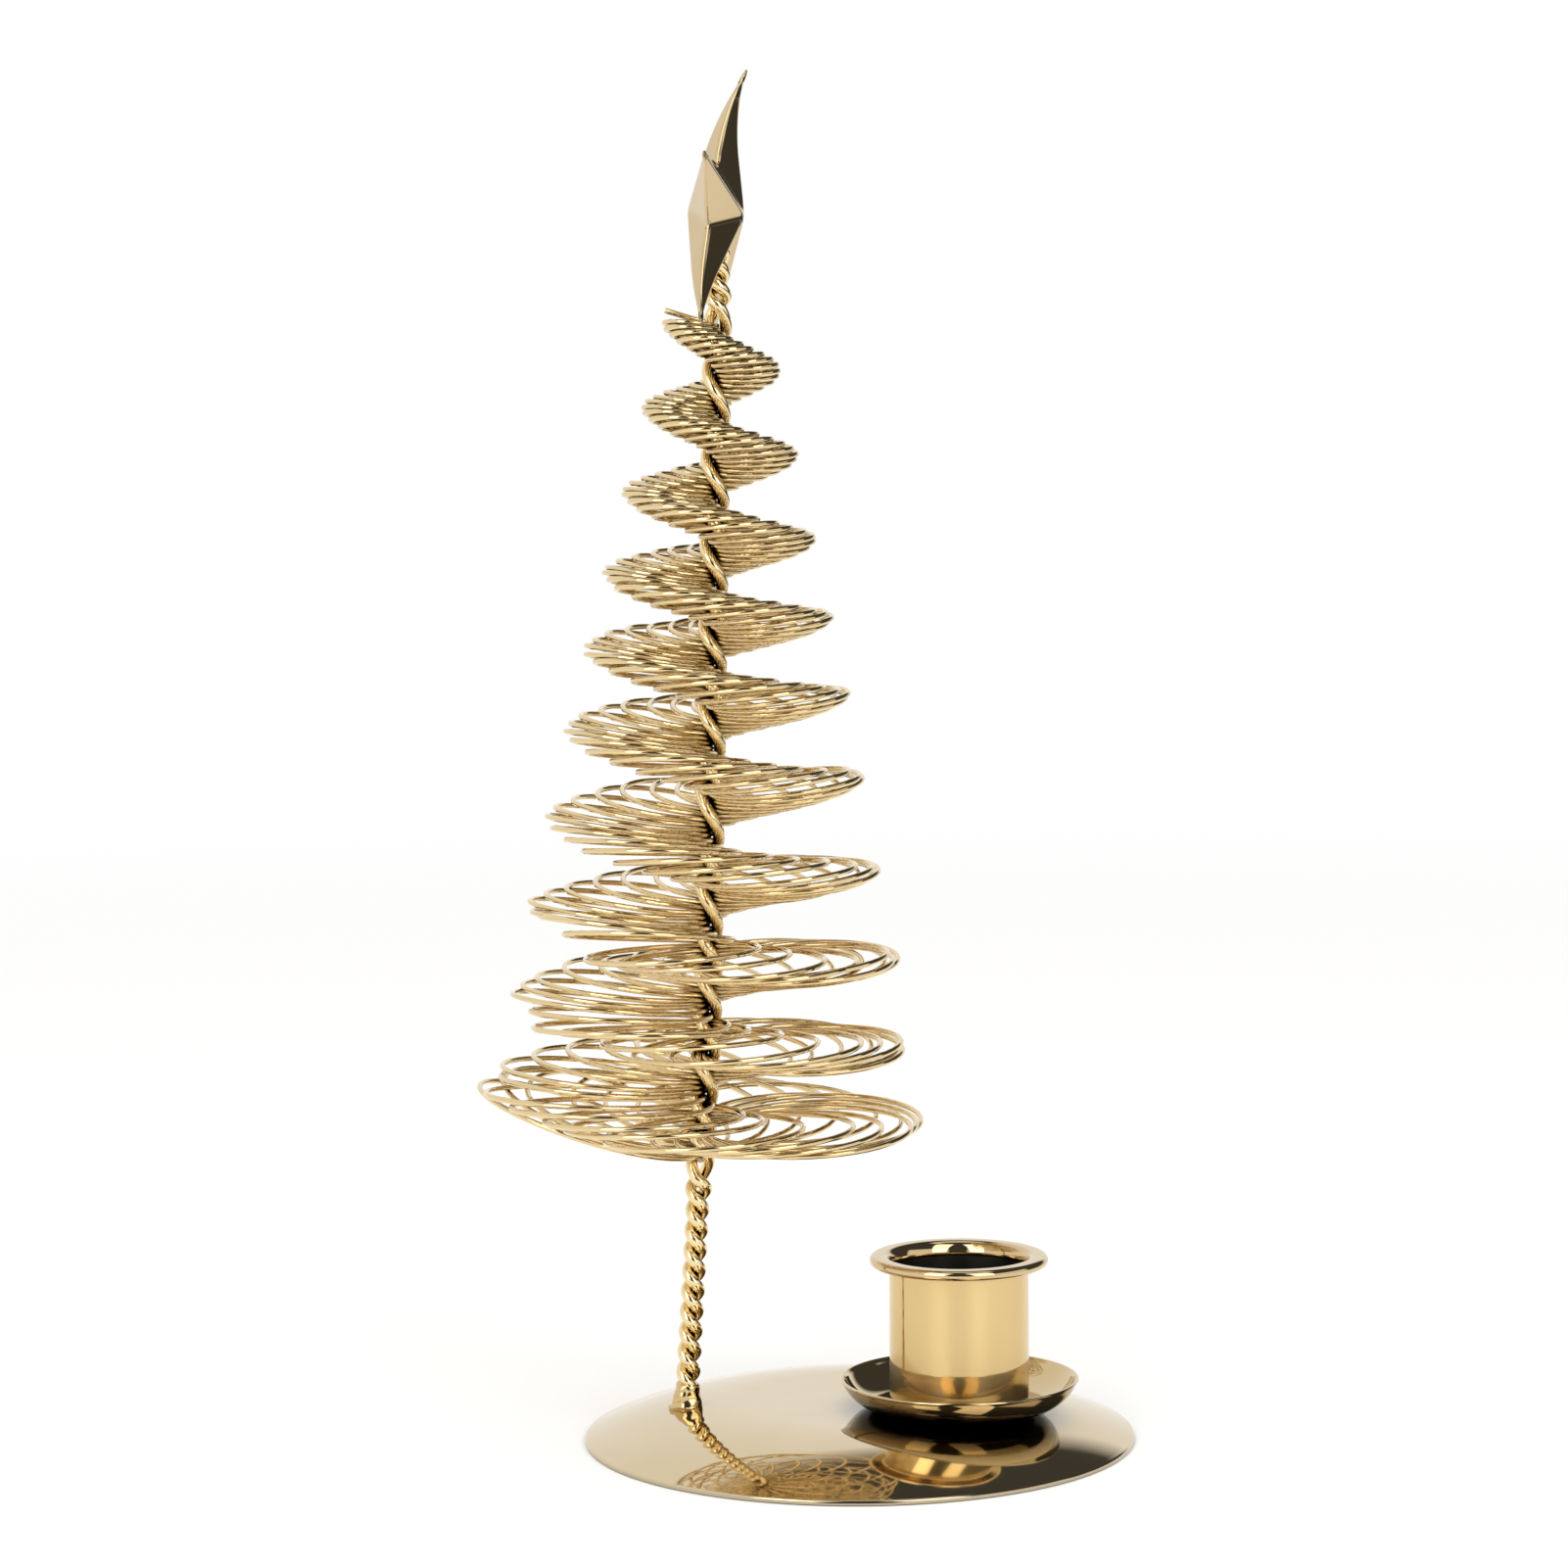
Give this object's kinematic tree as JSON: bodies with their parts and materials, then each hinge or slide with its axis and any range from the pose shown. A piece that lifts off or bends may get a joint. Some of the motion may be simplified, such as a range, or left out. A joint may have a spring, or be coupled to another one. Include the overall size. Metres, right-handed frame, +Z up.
{
  "type": "candle holder",
  "caption": "Table candle holder: a conical tree of wire loops round a twisted wire trunk with a star on top, beside a candle cup in a drip dish, on a round domed base.",
  "frame": {"origin": "centre of the base's standing ring, on the table", "axes": "+Z up, +X from the tree's foot towards the candle cup, -Y towards the viewer"},
  "size_m": [0.1096, 0.093, 0.2301],
  "materials": {
    "plated_sheet": "mirror polished pale gold plating",
    "plated_wire": "polished pale gold plating",
    "plated_solder": "lumpy plated solder",
    "plated_rivet": "plated rivet"
  },
  "bodies": {
    "root": {"base_plate": "plated_sheet", "drip_dish": "plated_sheet", "candle_cup": "plated_sheet", "cup_rivet": "plated_rivet", "rivet_washer": "plated_rivet", "core_wire_1": "plated_wire", "core_wire_2": "plated_wire", "spiral_wire": "plated_wire", "star_left_shell": "plated_sheet", "star_right_shell": "plated_sheet", "star_solder": "plated_solder", "foot_solder": "plated_solder"}
  },
  "joints": []
}
